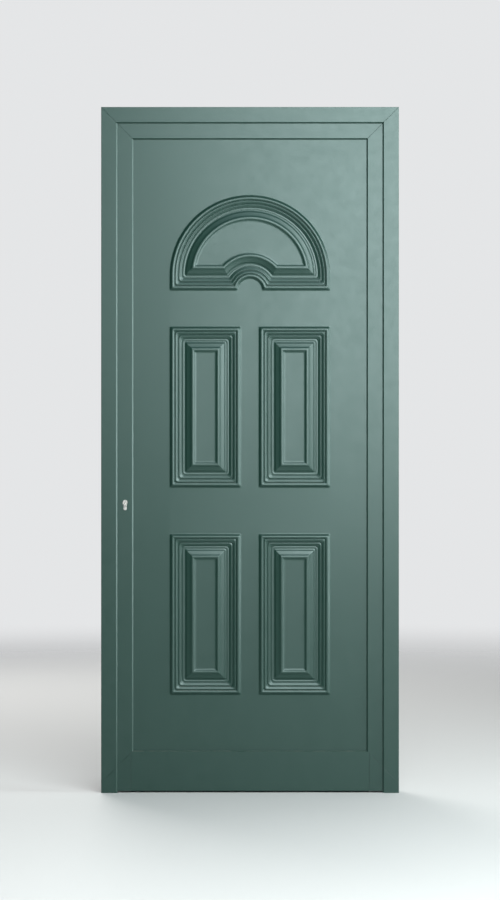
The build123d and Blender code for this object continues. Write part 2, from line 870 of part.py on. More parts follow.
# Latch bolt: a bevelled head, a tail plate under its spring, and a lug that the follower's arm pushes
arm_rest_width = backset - follower_arm_reach * math.sin(math.radians(handle_turn / 2))
lug_face = arm_rest_width + follower_tip_radius + cam_clearance
lug_end = lug_face + latch_lug_width
head_low, head_high = latch_height_middle - latch_height / 2, latch_height_middle + latch_height / 2
latch_end = -latch_projection + latch_body_length
latch = lock_block(-latch_projection, latch_end, latch_thickness / 2, head_low, head_high)
tail_top = head_low + latch_tail_thickness
latch += lock_block(latch_end - overlap, lug_end, latch_thickness / 2, head_low, tail_top)
arm_lowest = follower_arm_reach * math.cos(math.radians(handle_turn / 2))
lug_low = handle_height + arm_lowest - latch_lug_lap
latch += lock_block(lug_face, lug_end, latch_thickness / 2, lug_low, head_low + overlap)
nose_depth = lock_plane + latch_thickness / 2 - latch_nose
latch_bevel = rise(
    outline(
        (across(-latch_projection) - overlap, lock_plane - latch_thickness / 2 - overlap),
        (across(0), lock_plane - latch_thickness / 2 - overlap),
        (across(-latch_projection), nose_depth),
        (across(-latch_projection) - overlap, nose_depth),
    ),
    head_low - overlap,
    head_high + overlap,
)
parts["latch_bolt"] = latch - latch_bevel

spring_height = head_low + latch_tail_thickness + (latch_height - latch_tail_thickness) / 2
spring_length = case_end - lock_wall - latch_end - latch_spring_wire * 2
coil = Helix(
    pitch=spring_length / latch_spring_turns,
    height=spring_length,
    radius=latch_spring_radius,
)
coil_section = Plane(origin=coil @ 0, z_dir=coil % 0) * Circle(latch_spring_wire)
spring = sweep(coil_section, path=coil)
spring_start = (across(latch_end + latch_spring_wire), lock_plane, spring_height)
parts["latch_spring"] = placed(spring, spring_start, (1, 0, 0))

# Dead bolt, drawn back flush with the faceplate
dead_low, dead_high = dead_bolt_middle - dead_bolt_height / 2, dead_bolt_middle + dead_bolt_height / 2
dead_bolt = lock_block(0, dead_bolt_length, dead_bolt_thickness / 2, dead_low, dead_high)
dead_bolt += lock_block(
    dead_bolt_length - overlap,
    dead_bolt_length + dead_bolt_tail_length,
    dead_bolt_thickness / 2,
    dead_bolt_middle - dead_bolt_tail_height / 2,
    dead_bolt_middle + dead_bolt_tail_height / 2,
)
parts["dead_bolt"] = dead_bolt

# Follower: a hub on two journals, a square hole for the spindle and an arm that leans to the lock edge
arm = Rectangle(follower_arm_width, follower_arm_reach, align=(Align.CENTER, Align.MIN))
arm += Pos(0, follower_arm_reach) * Circle(follower_tip_radius)
hub_half = case_half - lock_wall - cam_clearance
hub = Circle(follower_radius) + Rot(0, 0, handle_turn / 2) * arm
follower = through(hub, lock_plane - hub_half, lock_plane + hub_half)
follower += through(Circle(follower_journal_radius), lock_plane - case_half, lock_plane + case_half)
follower -= through(Rectangle(spindle_width, spindle_width), 0, frame_depth)
parts["lock_follower"] = Pos(lock_x, 0, handle_height) * follower

# Cylinder: two plugs and a cam in one keyhole-shaped body, held by one long screw through its bridge
cylinder_out = leaf_face - cylinder_proud
cylinder_in = frame_depth + rose_thickness + cylinder_proud
cylinder = through(euro_profile(), cylinder_out, cylinder_in)
cylinder -= through(
    Circle(plug_radius + running_clearance), cylinder_out - overlap, cylinder_in + overlap
)
cylinder -= block(
    (-profile_radius - overlap, lock_plane - cam_gap / 2, -cam_radius - overlap),
    (profile_radius + overlap, lock_plane + cam_gap / 2, profile_radius + overlap),
)
cylinder = Pos(lock_x, 0, cylinder_height) * cylinder
parts["cylinder_body"] = cylinder - cylinder_screw_hole

plug_end = lock_plane - cam_gap / 2
keyway = Rectangle(keyway_width, keyway_height)
keyway += Pos(keyway_width / 2, 0) * Rectangle(keyway_width, keyway_height / 3)
outer_plug = through(Circle(plug_radius), cylinder_out - plug_proud, plug_end)
outer_plug -= through(keyway, cylinder_out - plug_proud - overlap, cylinder_out - plug_proud + keyway_depth)
parts["outer_plug"] = Pos(lock_x, 0, cylinder_height) * outer_plug
inner_plug = through(Circle(plug_radius), lock_plane + cam_gap / 2, cylinder_in + plug_proud)
inner_plug -= through(keyway, cylinder_in + plug_proud - keyway_depth, cylinder_in + plug_proud + overlap)
parts["inner_plug"] = Pos(lock_x, 0, cylinder_height) * inner_plug
cam = Circle(profile_radius - cam_clearance)
lobe_start = Pos(0, -cam_radius / 2) * Rectangle(cam_lobe_width, cam_radius)
cam += lobe_start & Circle(cam_radius)
cam = through(cam, lock_plane - cam_gap / 2 + cam_clearance, lock_plane + cam_gap / 2 - cam_clearance)
parts["cylinder_cam"] = Pos(lock_x, 0, cylinder_height) * cam


# Strike plate in the lock jamb's groove, and the pockets behind it
strike_low, strike_high = dead_low - strike_reach, head_high + strike_reach
strike = block(
    (-door_width / 2 + groove_floor, lock_plane - faceplate_width / 2, strike_low),
    (-door_width / 2 + frame_box, lock_plane + faceplate_width / 2, strike_high),
)
for low, high, thickness in (
    (head_low, head_high, latch_thickness),
    (dead_low, dead_high, dead_bolt_thickness),
):
    half = thickness / 2 + pocket_clearance
    pocket = block(
        (-door_width / 2 + groove_floor - 2 * wall, lock_plane - half, low - pocket_clearance),
        (-door_width / 2 + frame_box + overlap, lock_plane + half, high + pocket_clearance),
    )
    strike -= pocket
    lock_jamb -= pocket
strike_screws = []
for height in (strike_low + strike_reach / 2, (dead_high + head_low) / 2, strike_high - strike_reach / 2):
    spot = (-door_width / 2 + frame_box, lock_plane, height)
    hole = placed(screw_hole(lock_screw_radius, lock_screw_length), spot, (1, 0, 0))
    strike -= hole
    lock_jamb -= hole
    strike_screws.append(placed(screw(lock_screw_radius, lock_screw_length), spot, (1, 0, 0)))
parts["strike_plate"] = strike
parts["strike_screws"] = Compound(strike_screws)


# Inside handle
rose_face = frame_depth + rose_thickness


def rose(middle, opening):
    """A narrow cover plate with round ends on the leaf's inner face, and the spots of its two screws."""
    flat = Pos(lock_x, middle) * Rot(0, 0, 90) * SlotOverall(rose_height, rose_width)
    plate = through(flat, frame_depth, rose_face)
    plate = fillet(plate.edges().group_by(Axis.Y)[-1], rose_round)
    spots = [(lock_x, rose_face, middle + side * rose_screw_spacing / 2) for side in (-1, 1)]
    return plate - through(opening, frame_depth - overlap, rose_face + overlap), spots


cylinder_middle = cylinder_height + profile_radius - profile_height / 2
rose_screws = []
for name, middle, opening in (
    ("handle_rose", handle_height, Pos(lock_x, handle_height) * Circle(lever_radius + bolt_clearance)),
    ("cylinder_rose", cylinder_middle, profile_opening),
):
    plate, spots = rose(middle, opening)
    for spot in spots:
        hole = placed(screw_hole(rose_screw_radius, rose_screw_length), spot, (0, 1, 0))
        plate -= hole
        lock_stile -= hole
        rose_screws.append(placed(screw(rose_screw_radius, rose_screw_length), spot, (0, 1, 0)))
    parts[name] = plate
parts["rose_screws"] = Compound(rose_screws)

neck_start = frame_depth + neck_clearance
lever_path = FilletPolyline(
    (0, neck_start, 0), (0, lever_plane, 0), (lever_length, lever_plane, 0), radius=lever_bend
)
lever_start = Plane(origin=(0, neck_start, 0), x_dir=(1, 0, 0), z_dir=(0, 1, 0)) * Circle(lever_radius)
lever = sweep(lever_start, path=lever_path)
lever += Pos(lever_length, lever_plane, 0) * Sphere(lever_radius)
spindle_end = lever_plane - lever_bend
lever -= through(Rectangle(spindle_width, spindle_width), neck_start - overlap, spindle_end)
parts["lever_handle"] = Pos(lock_x, 0, handle_height) * lever
spindle = through(Rectangle(spindle_width, spindle_width), lock_plane - case_half, spindle_end)
parts["handle_spindle"] = Pos(lock_x, 0, handle_height) * spindle

parts["frame_lock_jamb"] = lock_jamb
parts["frame_hinge_jamb"] = hinge_jamb
parts["frame_head"] = frame_head
parts["leaf_lock_stile"] = lock_stile
parts["leaf_hinge_stile"] = hinge_stile

# The origin lies on the floor, half way across the door and half way through its overall depth
to_middle = Location((0, -overall_depth / 2, 0))
os.makedirs("parts", exist_ok=True)
for name, shape in parts.items():
    export_step(shape.moved(to_middle), "parts/" + name + ".step")
print(len(parts), "pieces")
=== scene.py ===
import bpy
import bmesh
import json
import math
from mathutils import Matrix, Vector


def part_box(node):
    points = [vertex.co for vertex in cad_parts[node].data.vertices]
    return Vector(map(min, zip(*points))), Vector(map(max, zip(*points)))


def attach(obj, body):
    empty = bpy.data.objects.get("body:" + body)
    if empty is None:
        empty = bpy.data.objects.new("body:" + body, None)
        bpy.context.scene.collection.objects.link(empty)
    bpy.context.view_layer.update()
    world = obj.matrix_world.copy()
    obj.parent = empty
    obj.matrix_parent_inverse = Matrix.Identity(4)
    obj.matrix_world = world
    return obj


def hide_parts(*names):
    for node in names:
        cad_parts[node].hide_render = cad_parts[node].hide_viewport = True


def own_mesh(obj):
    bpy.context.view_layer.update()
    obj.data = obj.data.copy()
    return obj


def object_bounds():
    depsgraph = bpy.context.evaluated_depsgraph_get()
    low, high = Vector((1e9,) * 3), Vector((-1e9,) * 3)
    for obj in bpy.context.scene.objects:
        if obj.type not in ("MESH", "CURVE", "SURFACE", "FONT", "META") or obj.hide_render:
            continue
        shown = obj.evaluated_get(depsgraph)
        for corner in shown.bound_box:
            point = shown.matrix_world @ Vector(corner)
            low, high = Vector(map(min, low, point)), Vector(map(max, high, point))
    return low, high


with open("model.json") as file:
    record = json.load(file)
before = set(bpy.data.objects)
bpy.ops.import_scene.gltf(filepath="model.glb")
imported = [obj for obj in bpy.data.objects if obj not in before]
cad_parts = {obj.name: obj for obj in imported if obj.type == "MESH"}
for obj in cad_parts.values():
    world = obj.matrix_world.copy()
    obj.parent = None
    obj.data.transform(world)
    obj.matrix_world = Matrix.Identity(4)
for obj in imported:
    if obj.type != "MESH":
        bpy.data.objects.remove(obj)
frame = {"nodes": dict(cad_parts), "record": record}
cadLow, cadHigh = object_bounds()
nodes = frame["nodes"]
print("door loaded:", len(nodes), "pieces")

mm = 0.001


# Small helpers for shader trees

def addNode(tree, kind, **settings):
    node = tree.nodes.new(kind)
    for name, value in settings.items():
        setattr(node, name, value)
    return node


def feed(tree, socket, value):
    if isinstance(value, bpy.types.NodeSocket):
        tree.links.new(value, socket)
    else:
        socket.default_value = value


def calc(tree, operation, *values):
    node = addNode(tree, "ShaderNodeMath", operation=operation)
    for socket, value in zip(node.inputs, values):
        feed(tree, socket, value)
    return node.outputs[0]


def remap(tree, value, low, high, newLow=0.0, newHigh=1.0, smooth=False):
    node = addNode(tree, "ShaderNodeMapRange", clamp=True)
    if smooth:
        node.interpolation_type = "SMOOTHSTEP"
    for name, given in (
        ("Value", value),
        ("From Min", low),
        ("From Max", high),
        ("To Min", newLow),
        ("To Max", newHigh),
    ):
        feed(tree, node.inputs[name], given)
    return node.outputs[0]


def noise(tree, place, scale, detail, roughness):
    node = addNode(tree, "ShaderNodeTexNoise")
    given = (("Vector", place), ("Scale", scale), ("Detail", detail), ("Roughness", roughness))
    for name, value in given:
        feed(tree, node.inputs[name], value)
    return node.outputs["Fac"]


# A noise lies about 0.5. This moves it to lie about 0, and scales it.
def wander(tree, value, width):
    return calc(tree, "MULTIPLY", calc(tree, "SUBTRACT", value, 0.5), width)


def mixColour(tree, share, first, second):
    node = addNode(tree, "ShaderNodeMix", data_type="RGBA")
    feed(tree, node.inputs["Factor"], share)
    feed(tree, node.inputs["A"], first)
    feed(tree, node.inputs["B"], second)
    return node.outputs["Result"]


def scaleTone(tree, colour, factor):
    node = addNode(tree, "ShaderNodeHueSaturation")
    feed(tree, node.inputs["Value"], factor)
    feed(tree, node.inputs["Color"], colour)
    return node.outputs["Color"]


def axesOf(tree):
    coords = addNode(tree, "ShaderNodeTexCoord").outputs["Object"]
    apart = addNode(tree, "ShaderNodeSeparateXYZ")
    tree.links.new(coords, apart.inputs[0])
    return coords, apart.outputs


socketKinds = {"colour": "NodeSocketColor", "value": "NodeSocketFloat", "vector": "NodeSocketVector"}


def newGroup(name, inputs, outputs):
    tree = bpy.data.node_groups.new(name, "ShaderNodeTree")
    for label, kind, default in inputs:
        socket = tree.interface.new_socket(name=label, in_out="INPUT", socket_type=socketKinds[kind])
        socket.default_value = default
    for label, kind in outputs:
        tree.interface.new_socket(name=label, in_out="OUTPUT", socket_type=socketKinds[kind])
    inside = addNode(tree, "NodeGroupInput").outputs
    outside = addNode(tree, "NodeGroupOutput").inputs
    return tree, inside, outside


def useGroup(tree, group, **values):
    node = addNode(tree, "ShaderNodeGroup", node_tree=group)
    for name, value in values.items():
        feed(tree, node.inputs[name.replace("_", " ")], value)
    return node.outputs


# Effects that several finishes share. A noise is given as scale, detail and roughness.

powderGrainValues = {
    "fineDetail": 2.0,
    "fineRoughness": 0.55,
    "broadNoise": (2.6, 3.0, 0.55),
    "middleNoise": (34.0, 3.0, 0.6),
    "speck": 0.5,  # share of the drift
    "roughnessDrift": 0.14,
}


def buildPowderGrain(values):
    tree, given, out = newGroup(
        "powderGrain",
        [
            ("Colour", "colour", (0.1, 0.1, 0.1, 1)),
            ("Grain", "value", 700.0),  # bumps a metre
            ("Drift", "value", 0.1),  # how much the tone wanders
            ("Roughness", "value", 0.4),
        ],
        [("Colour", "colour"), ("Roughness", "value"), ("Height", "value")],
    )
    coords, _ = axesOf(tree)
    fine = noise(tree, coords, given["Grain"], values["fineDetail"], values["fineRoughness"])
    broad = noise(tree, coords, *values["broadNoise"])
    middle = noise(tree, coords, *values["middleNoise"])
    drift = wander(tree, broad, given["Drift"])
    speck = wander(tree, middle, calc(tree, "MULTIPLY", given["Drift"], values["speck"]))
    tone = calc(tree, "ADD", calc(tree, "ADD", drift, speck), 1.0)
    shift = wander(tree, middle, values["roughnessDrift"])
    feed(tree, out["Colour"], scaleTone(tree, given["Colour"], tone))
    feed(tree, out["Roughness"], calc(tree, "ADD", given["Roughness"], shift))
    feed(tree, out["Height"], fine)
    return tree


ledgeDustValues = {
    "facing": (0.55, 0.98),  # upward part of the normal where dust begins and where it is full
    "patchNoise": (46.0, 4.0, 0.65),
    "patchRange": (0.32, 0.7),
    "dulling": 0.5,
}


def buildLedgeDust(values):
    tree, given, out = newGroup(
        "ledgeDust",
        [
            ("Colour", "colour", (0.1, 0.1, 0.1, 1)),
            ("Dust", "colour", (0.3, 0.29, 0.26, 1)),
            ("Amount", "value", 0.3),
            ("Roughness", "value", 0.4),
        ],
        [("Colour", "colour"), ("Roughness", "value")],
    )
    coords, _ = axesOf(tree)
    facing = addNode(tree, "ShaderNodeSeparateXYZ")
    feed(tree, facing.inputs[0], addNode(tree, "ShaderNodeNewGeometry").outputs["Normal"])
    upward = remap(tree, facing.outputs["Z"], *values["facing"], smooth=True)
    patch = remap(tree, noise(tree, coords, *values["patchNoise"]), *values["patchRange"])
    mask = calc(tree, "MULTIPLY", calc(tree, "MULTIPLY", upward, patch), given["Amount"])
    dulling = calc(tree, "MULTIPLY", mask, values["dulling"])
    feed(tree, out["Colour"], mixColour(tree, mask, given["Colour"], given["Dust"]))
    feed(tree, out["Roughness"], calc(tree, "ADD", given["Roughness"], dulling))
    return tree


jointLinesValues = {
    "core": 0.35,  # share of the line's width that is fully dark
}


def buildJointLines(values):
    tree, given, out = newGroup(
        "jointLines",
        [
            ("Frame Half", "value", 0.5),
            ("Frame Top", "value", 2.0),
            ("Rail Half", "value", 0.4),
            ("Rail Top", "value", 0.1),
            ("Line Width", "value", 0.0006),
        ],
        [("Mask", "value")],
    )
    _, axes = axesOf(tree)
    fromMiddle = calc(tree, "ABSOLUTE", axes["X"])
    fromSide = calc(tree, "SUBTRACT", given["Frame Half"], fromMiddle)
    fromTop = calc(tree, "SUBTRACT", given["Frame Top"], axes["Z"])
    upper = calc(tree, "ABSOLUTE", calc(tree, "SUBTRACT", fromSide, fromTop))
    pastRail = calc(tree, "SUBTRACT", given["Rail Half"], fromMiddle)
    overRail = calc(tree, "SUBTRACT", axes["Z"], given["Rail Top"])
    lower = calc(tree, "ABSOLUTE", calc(tree, "SUBTRACT", pastRail, overRail))
    beside = calc(tree, "MAXIMUM", calc(tree, "ABSOLUTE", pastRail), overRail)
    nearest = calc(tree, "MINIMUM", calc(tree, "MINIMUM", upper, lower), beside)
    core = calc(tree, "MULTIPLY", given["Line Width"], values["core"])
    feed(tree, out["Mask"], remap(tree, nearest, core, given["Line Width"], 1.0, 0.0))
    return tree


brushedLinesValues = {
    "lineNoise": (1.0, 4.0, 0.6),
    "cloudNoise": (60.0, 3.0, 0.6),
    "lineRoughness": 1.1,  # share of the lines' tone
    "cloudRoughness": 0.12,
}


def buildBrushedLines(values):
    tree, given, out = newGroup(
        "brushedLines",
        [
            ("Colour", "colour", (0.6, 0.6, 0.6, 1)),
            ("Stretch", "vector", (1, 1, 1)),  # lines a metre along each axis
            ("Depth", "value", 0.12),
            ("Roughness", "value", 0.3),
        ],
        [("Colour", "colour"), ("Roughness", "value"), ("Height", "value")],
    )
    coords, _ = axesOf(tree)
    scaled = addNode(tree, "ShaderNodeVectorMath", operation="MULTIPLY")
    feed(tree, scaled.inputs[0], coords)
    feed(tree, scaled.inputs[1], given["Stretch"])
    lines = noise(tree, scaled.outputs[0], *values["lineNoise"])
    cloud = noise(tree, coords, *values["cloudNoise"])
    tone = wander(tree, lines, given["Depth"])
    spread = calc(tree, "ADD", calc(tree, "MULTIPLY", tone, values["lineRoughness"]),
                  wander(tree, cloud, values["cloudRoughness"]))
    feed(tree, out["Colour"], scaleTone(tree, given["Colour"], calc(tree, "ADD", tone, 1.0)))
    feed(tree, out["Roughness"], calc(tree, "ADD", given["Roughness"], spread))
    feed(tree, out["Height"], lines)
    return tree


powderGrain = buildPowderGrain(powderGrainValues)
ledgeDust = buildLedgeDust(ledgeDustValues)
jointLines = buildJointLines(jointLinesValues)
brushedLines = buildBrushedLines(brushedLinesValues)
print("shared effects built")


# Finishes

def newFinish(name, metallic=0.0, specular=0.5):
    material = bpy.data.materials.new(name)
    material.use_nodes = True
    tree = material.node_tree
    shader = tree.nodes["Principled BSDF"]
    shader.inputs["Metallic"].default_value = metallic
    shader.inputs["Specular IOR Level"].default_value = specular
    return material, tree, shader


def bumpInto(tree, shader, height, distance):
    bump = addNode(tree, "ShaderNodeBump")
    bump.inputs["Distance"].default_value = distance
    feed(tree, bump.inputs["Height"], height)
    feed(tree, shader.inputs["Normal"], bump.outputs["Normal"])


barPaintValues = {
    "colour": (0.0055, 0.026, 0.0185, 1),
    "roughness": 0.39,
    "gloss": 0.64,
    "glossTint": (0.84, 1, 0.99, 1),
    "grain": 520.0,
    "grainHeight": 0.00006,
    "drift": 0.16,
    "dust": 0.35,
    "jointColour": (0.001, 0.004, 0.003, 1),
    "jointWidth": 0.0007,
    "jointDepth": 0.0004,
    "lip": 0.008,  # how far the bottom rail's outer lip stands over its body
}
panelPaintValues = {**barPaintValues, "drift": 0.14, "dust": 0.25}
hingePaintValues = {**barPaintValues, "grain": 900.0, "drift": 0.1}


def markJoints(tree, values):
    stile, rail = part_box("frame_lock_jamb"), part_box("leaf_bottom_rail")
    lines = useGroup(
        tree,
        jointLines,
        Frame_Half=-stile[0].x,
        Frame_Top=stile[1].z,
        Rail_Half=rail[1].x,
        Rail_Top=rail[1].z - values["lip"],
        Line_Width=values["jointWidth"],
    )
    return lines["Mask"]


def makePaint(name, values, withJoints):
    material, tree, shader = newFinish(name, specular=values["gloss"])
    shader.inputs["Specular Tint"].default_value = values["glossTint"]
    skin = useGroup(tree, powderGrain, Colour=values["colour"], Grain=values["grain"],
                    Drift=values["drift"], Roughness=values["roughness"])
    dusty = useGroup(tree, ledgeDust, Colour=skin["Colour"], Amount=values["dust"],
                     Roughness=skin["Roughness"])
    colour, height = dusty["Colour"], skin["Height"]
    if withJoints:
        mask = markJoints(tree, values)
        colour = mixColour(tree, mask, colour, values["jointColour"])
        drop = calc(tree, "MULTIPLY", mask, values["jointDepth"] / values["grainHeight"])
        height = calc(tree, "SUBTRACT", height, drop)
    feed(tree, shader.inputs["Base Color"], colour)
    feed(tree, shader.inputs["Roughness"], dusty["Roughness"])
    bumpInto(tree, shader, height, values["grainHeight"])
    return material


# Lines a metre along each axis of a brushed metal
even = (300, 300, 300)
fine = (1800, 1800, 1800)
turned = (900, 900, 2600)
alongX = (26, 1400, 1400)
alongY = (1400, 26, 1400)
alongZ = (1400, 1400, 26)
lineHeight = 0.00002
metals = {
    "mill_aluminium": {"colour": (0.62, 0.63, 0.64), "roughness": 0.42, "lines": alongZ, "depth": 0.12},
    "pin_steel": {"colour": (0.56, 0.56, 0.55), "roughness": 0.26, "lines": turned, "depth": 0.12},
    "plate_steel": {"colour": (0.6, 0.6, 0.59), "roughness": 0.3, "lines": alongZ, "depth": 0.2},
    "case_steel": {"colour": (0.55, 0.56, 0.53), "roughness": 0.4, "lines": even, "depth": 0.12},
    "bolt_steel": {"colour": (0.62, 0.61, 0.58), "roughness": 0.24, "lines": alongX, "depth": 0.1},
    "spring_steel": {"colour": (0.4, 0.4, 0.4), "roughness": 0.3, "lines": even, "depth": 0.12},
    "screw_steel": {"colour": (0.58, 0.58, 0.57), "roughness": 0.28, "lines": fine, "depth": 0.12},
    "cylinder_nickel": {"colour": (0.82, 0.8, 0.76), "roughness": 0.24, "lines": alongY, "depth": 0.08},
    "handle_steel": {"colour": (0.64, 0.64, 0.63), "roughness": 0.27, "lines": alongX, "depth": 0.1},
}


def makeMetal(name, values):
    material, tree, shader = newFinish(name, metallic=1.0)
    lines = useGroup(tree, brushedLines, Colour=(*values["colour"], 1), Stretch=values["lines"],
                     Depth=values["depth"], Roughness=values["roughness"])
    feed(tree, shader.inputs["Base Color"], lines["Colour"])
    feed(tree, shader.inputs["Roughness"], lines["Roughness"])
    bumpInto(tree, shader, lines["Height"], lineHeight)
    return material


plasticDrift = 0.2
plasticDust = 0.15
plastics = {
    "seal_rubber": {"colour": (0.012, 0.012, 0.012), "roughness": 0.72, "grain": 900.0, "height": 0.00006},
    "brush_fibre": {"colour": (0.014, 0.014, 0.014), "roughness": 0.9, "grain": 1500.0, "height": 0.0004},
    "panel_foam": {"colour": (0.62, 0.54, 0.3), "roughness": 0.9, "grain": 900.0, "height": 0.0002},
    "block_plastic": {"colour": (0.04, 0.08, 0.25), "roughness": 0.5, "grain": 600.0, "height": 0.00004},
    "cap_plastic": {"colour": (0.012, 0.042, 0.032), "roughness": 0.5, "grain": 900.0, "height": 0.00003},
    "bush_nylon": {"colour": (0.68, 0.67, 0.62), "roughness": 0.4, "grain": 700.0, "height": 0.00002},
}


def makePlastic(name, values):
    material, tree, shader = newFinish(name)
    skin = useGroup(tree, powderGrain, Colour=(*values["colour"], 1), Grain=values["grain"],
                    Drift=plasticDrift, Roughness=values["roughness"])
    dusty = useGroup(tree, ledgeDust, Colour=skin["Colour"], Amount=plasticDust,
                     Roughness=skin["Roughness"])
    feed(tree, shader.inputs["Base Color"], dusty["Colour"])
    feed(tree, shader.inputs["Roughness"], dusty["Roughness"])
    bumpInto(tree, shader, skin["Height"], values["height"])
    return material


def finishName(slot):
    first, *others = slot.split("_")
    return first + "".join(word.capitalize() for word in others)


finishes = {
    "door_paint": makePaint("barPaint", barPaintValues, True),
    "hinge_paint": makePaint("hingePaint", hingePaintValues, False),
}
for slot, values in metals.items():
    finishes[slot] = makeMetal(finishName(slot), values)
for slot, values in plastics.items():
    finishes[slot] = makePlastic(finishName(slot), values)
panelPaint = makePaint("panelPaint", panelPaintValues, False)
for part in frame["record"]["subparts"]:
    mesh = nodes[part["node"]].data
    mesh.materials.clear()
    mesh.materials.append(finishes[part["material_slot"]])
for name in ("panel_outer_skin", "panel_inner_skin"):
    nodes[name].data.materials[0] = panelPaint
print("finishes on", len(nodes), "pieces")


# Outer skin of the panel, with the pressed mouldings. Its sizes are in mm.

panelSkin = {
    "width": 232,  # of each upright rectangle
    "gap": 54,
    "height": 520,
    "feet": (312, 978),
    "archFoot": 1611,
    "archStilt": 50,
    "notchRadius": 38,
    "sheet": 1.5,
    "cornerSteps": 8,
    "archSteps": 40,
    "notchSteps": 12,
    "rings": 2,  # between two stations of the section
    "weld": 0.01,  # points closer than this become one
    "mirrorWeld": 0.001,
    # each station: distance in from the outline, height over the panel's face, radius of the corners
    "section": (
        (-0.7, 0, 5.7),
        (0, 0.02, 5),
        (1.2, 0.25, 5),
        (3, 1.2, 5),
        (7.5, 5.8, 5),
        (9.5, 6.6, 5),
        (11.5, 6.7, 4.5),
        (13.5, 6.3, 4),
        (15.3, 5.7, 4.4),
        (16, 5, 4.8),
        (16.8, 2.5, 5),
        (17.3, 2.05, 5.2),
        (17.9, 2.15, 5.4),
        (20, 4, 6.2),
        (21, 4.1, 6.8),
        (24, 3, 8),
        (26.8, 1.9, 8.4),
        (27.6, 1.2, 8.5),
        (28.4, -1.2, 8.5),
        (28.9, -1.6, 8.5),
        (29.5, -1.55, 8.6),
        (31.6, 0, 8.9),
        (32.6, 0.05, 9),
        (36, -1.7, 9.5),
        (39.6, -2.7, 9.5),
        (40.6, -4.2, 9.5),
        (41.2, -4.5, 9.5),
        (42.5, -4.2, 9.4),
        (45, -3.9, 9.2),
        (47, -4.3, 8.5),
        (48.5, -4.6, 7),
        (50, -4.3, 5),
        (53, -3.3, 3.5),
        (54, -2.6, 2.5),
        (55.8, -1, 2),
        (57, -0.6, 1.8),
        (66, 2.2, 1.6),
        (68, 3.1, 1.5),
        (71.5, 5.6, 1.5),
        (74, 6.1, 2),
        (76, 6.15, 2.5),
        (78.5, 5.7, 3.5),
        (79.5, 5.3, 3.5),
        (81.5, 3.6, 3.3),
        (82.5, 3.2, 3),
        (85.5, 2.5, 2.5),
        (86.5, 2.4, 2.5),
        (87.2, 2.37, 2.5),
    ),
}
panelLow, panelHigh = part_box("panel_outer_skin")
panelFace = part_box("panel_outer_gasket")[1].y / mm  # the flat field of the panel


def smoothSection(stations, rings):
    runs = [after[0] - before[0] for before, after in zip(stations, stations[1:])]
    rises = [after[1] - before[1] for before, after in zip(stations, stations[1:])]
    slopes = [rise / run for rise, run in zip(rises, runs)]
    tilts = [0.0]
    for before, after in zip(slopes, slopes[1:]):
        tilts.append(2 * before * after / (before + after) if before * after > 0 else 0.0)
    tilts.append(0.0)
    smooth = []
    for i, run in enumerate(runs):
        for step in range(rings):
            t = step / rings
            height = (2 * t**3 - 3 * t**2 + 1) * stations[i][1] + (t**3 - 2 * t**2 + t) * tilts[i] * run
            height += (3 * t**2 - 2 * t**3) * stations[i + 1][1] + (t**3 - t**2) * tilts[i + 1] * run
            radius = stations[i][2] + t * (stations[i + 1][2] - stations[i][2])
            smooth.append((stations[i][0] + t * run, height, radius))
    return smooth + [stations[-1]]


def swing(mesh, corner, centre, depth, angle, steps):
    drawn = bmesh.ops.spin(mesh, geom=[corner], cent=(centre[0], depth, centre[1]), axis=(0, -1, 0),
                           angle=angle, steps=steps)
    return drawn["geom_last"][0]


def stretch(mesh, corner, place):
    drawn = bmesh.ops.extrude_vert_indiv(mesh, verts=[corner])["verts"][0]
    drawn.co = place
    return drawn


def squareGrid(mesh, middle, wide, tall):
    place = Matrix.Translation(middle) @ Matrix.Rotation(math.pi / 2, 4, "X")
    place = place @ Matrix.Diagonal((wide, tall, 1, 1))
    return bmesh.ops.create_grid(mesh, x_segments=1, y_segments=1, size=1, matrix=place)["verts"]


def drawRectangle(mesh, left, foot, values, inset, depth, radius):
    wide, tall = values["width"] / 2, values["height"] / 2
    corners = squareGrid(mesh, (left + wide, depth, foot + tall), wide - inset, tall - inset)
    bmesh.ops.bevel(mesh, geom=corners, affect="VERTICES", offset=radius, profile=0.5, material=-1,
                    segments=values["cornerSteps"])
    bmesh.ops.delete(mesh, geom=mesh.faces[:], context="FACES_ONLY")


def drawArch(mesh, left, foot, values, inset, depth, radius):
    spring = foot + values["archStilt"]
    outer, notch = -left - inset, values["notchRadius"] + inset
    low = foot + inset
    sideTilt = math.asin(max(low + radius - spring, 0) / (outer - radius))
    sideCentre = (-(outer - radius) * math.cos(sideTilt), low + radius)
    notchTilt = math.asin((inset + radius) / (notch + radius))
    notchCentre = (-(notch + radius) * math.cos(notchTilt), low + radius)
    drawn = set(mesh.edges)
    top = mesh.verts.new((0, depth, spring + outer))
    pen = swing(mesh, top, (0, spring), depth, math.pi / 2 - sideTilt, values["archSteps"])
    pen = stretch(mesh, pen, (sideCentre[0] - radius * math.cos(sideTilt), depth,
                              sideCentre[1] + radius * math.sin(sideTilt)))
    pen = swing(mesh, pen, sideCentre, depth, math.pi / 2 + sideTilt, values["cornerSteps"])
    pen = stretch(mesh, pen, (notchCentre[0], depth, low))
    pen = swing(mesh, pen, notchCentre, depth, math.pi / 2 - notchTilt, values["cornerSteps"])
    pen = swing(mesh, pen, (0, foot), depth, notchTilt - math.pi / 2, values["notchSteps"])
    pen.co.x = 0
    half = [edge for edge in mesh.edges if edge not in drawn]
    ends = {vert for edge in half for vert in edge.verts}
    bmesh.ops.mirror(mesh, geom=[*ends, *half], axis="X", merge_dist=values["mirrorWeld"])


